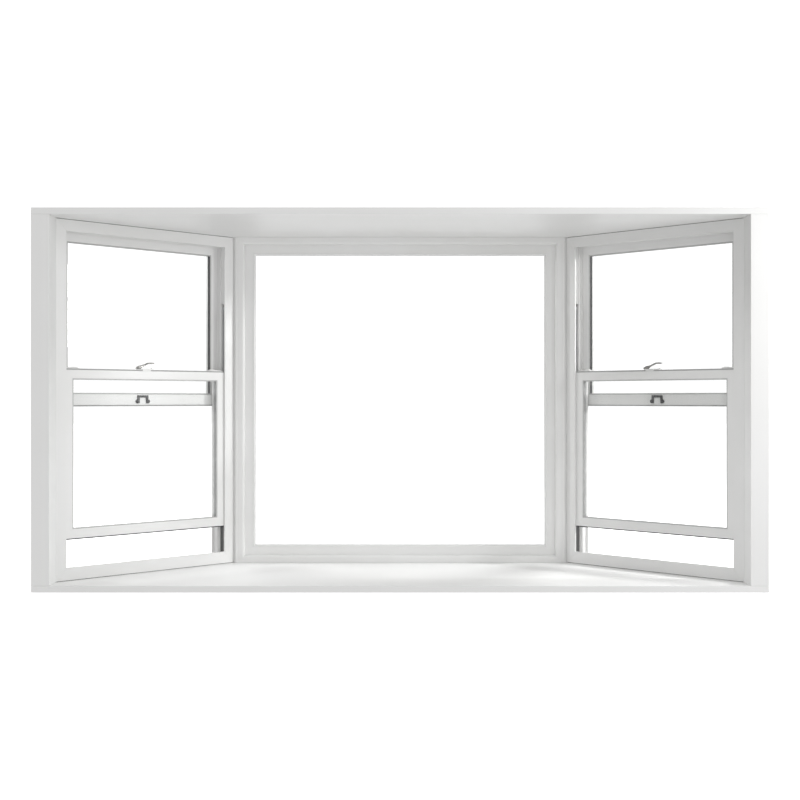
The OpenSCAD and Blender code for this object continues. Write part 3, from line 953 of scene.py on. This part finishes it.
for side in SIDES:
    sash_foot = local_box(side + "_lower_sash", side)[0].z
    solids = []
    for mirror, origin in ((1, 0), (-1, side_width)):
        for track in POCKET_SHADE_BARS:
            solids.append(skin([
                [(origin + mirror * x * MM, y * MM, z) for x, y in track]
                for z in (SHADE_BAR_FOOT, sash_foot - SHADE_BAR_PLAY)]))
    piece_from_lists(side + "_pocket_shade", *join(*solids), dark_plastic_painted_shade, side)
print("shoe tracks:", 2 * len(SIDES))

# %% [markdown]
# ## The floor
# The unit stands on a pale floor in a white studio. The floor glows a little, so that it stays white
# to the far edge. It is left out of the light's bounces and shadows, because the world below already
# gives the light that a white floor would throw back.

# %% Floor
FLOOR_HALF, FLOOR_DROP, FLOOR_GLOW = 30, 1 * MM, 0.75


def make_floor_finish():
    f = Finish("studio_floor")
    tone = f.blend(f.noise(0.8, 2), rgb(0.9, 0.9, 0.9), rgb(0.93, 0.93, 0.93))
    return f.plastic(
        Base_Color=tone, Roughness=0.9, Emission_Color=rgb(1, 1, 1),
        Emission_Strength=FLOOR_GLOW)


floor_mesh = bpy.data.meshes.new("studio_floor")
corners = [(x * FLOOR_HALF, y * FLOOR_HALF, 0) for x, y in ((-1, -1), (1, -1), (1, 1), (-1, 1))]
floor_mesh.from_pydata(corners, [], [(0, 1, 2, 3)])
floor_mesh.materials.append(make_floor_finish())
studio_floor = bpy.data.objects.new("studio_floor", floor_mesh)
studio_floor.location.z = -FLOOR_DROP
bpy.context.scene.collection.objects.link(studio_floor)
studio_floor.visible_diffuse = False
studio_floor.visible_shadow = False
print("floor", 2 * FLOOR_HALF, "m square")

# %% [markdown]
# ## The world
# The world is white to the eye, and as a light it has a strength of its own for each of six
# directions. A direction's share is its coordinate, so each strength fades out to the sides, and the
# six add up to one soft light. It is written with the same sums as a finish.

# %% World
EYE_WHITE = 1.15
WALLS = (
    # the strengths towards plus and minus x, y and z
    (0.30, 0.15), (0.0, 0.60), (0.53, 0.46))

world = bpy.data.worlds.new("white_studio")
bpy.context.scene.world = world
sky = Graph(world)
towards = sky.node("ShaderNodeTexCoord", out="Generated")
light = 0
for axis, strengths in enumerate(WALLS):
    share = sky.node("ShaderNodeSeparateXYZ", None, {"Vector": towards}, out=axis)
    for way, strength in zip((1, -1), strengths):
        light = light + sky.node("ShaderNodeMapRange", None, {
            "Value": share, "From Max": way, "To Max": strength})
seen = sky.node("ShaderNodeLightPath", out="Is Camera Ray")
shown = sky.node("ShaderNodeMapRange", None, {
    "Value": seen, "To Min": light, "To Max": EYE_WHITE})
sky.end("ShaderNodeOutputWorld", sky.node("ShaderNodeBackground", None, {
    "Color": rgb(1, 1, 1), "Strength": shown}))
print("world with", 2 * len(WALLS), "soft directions")

# %% [markdown]
# ## The lamps
# Six soft lamps add shape: two in the room, one on each side and two in the garden, whose light comes
# in through the glass. All face the middle of the unit. A ray may pass many faces of glass, because
# each sealed unit has four and light can cross two windows.

# %% Lamps
LAMPS = {
    # place, size in metres and power in watts
    "room_lamp": ((3, -3, 4.5), 2.0, 31),
    "low_lamp": ((2.2, -0.6, 1.2), 0.5, 12),
    "right_side_lamp": ((4, 0.2, 1.6), 0.3, 62),
    "left_side_lamp": ((-4, 1.2, 1.6), 0.5, 42),
    "right_garden_lamp": ((3, 3.5, 3.5), 1.5, 109),
    "left_garden_lamp": ((-3, 3.5, 4.5), 1.5, 60),
}
GLASS_FACES = 24
aim = Vector((0, 0.3, eye.z))

for name, (place, size, watts) in LAMPS.items():
    panel = bpy.data.lights.new(name, "AREA")
    panel.size = size
    panel.energy = watts
    lamp = bpy.data.objects.new(name, panel)
    lamp.location = place
    lamp.rotation_euler = (aim - lamp.location).to_track_quat("-Z", "Y").to_euler()
    lamp.visible_camera = False
    bpy.context.scene.collection.objects.link(lamp)
bpy.context.scene.view_settings.view_transform = "Standard"
bpy.context.scene.cycles.transparent_max_bounces = GLASS_FACES
print("lamps:", len(LAMPS))

# %% Finish
print("scene built")
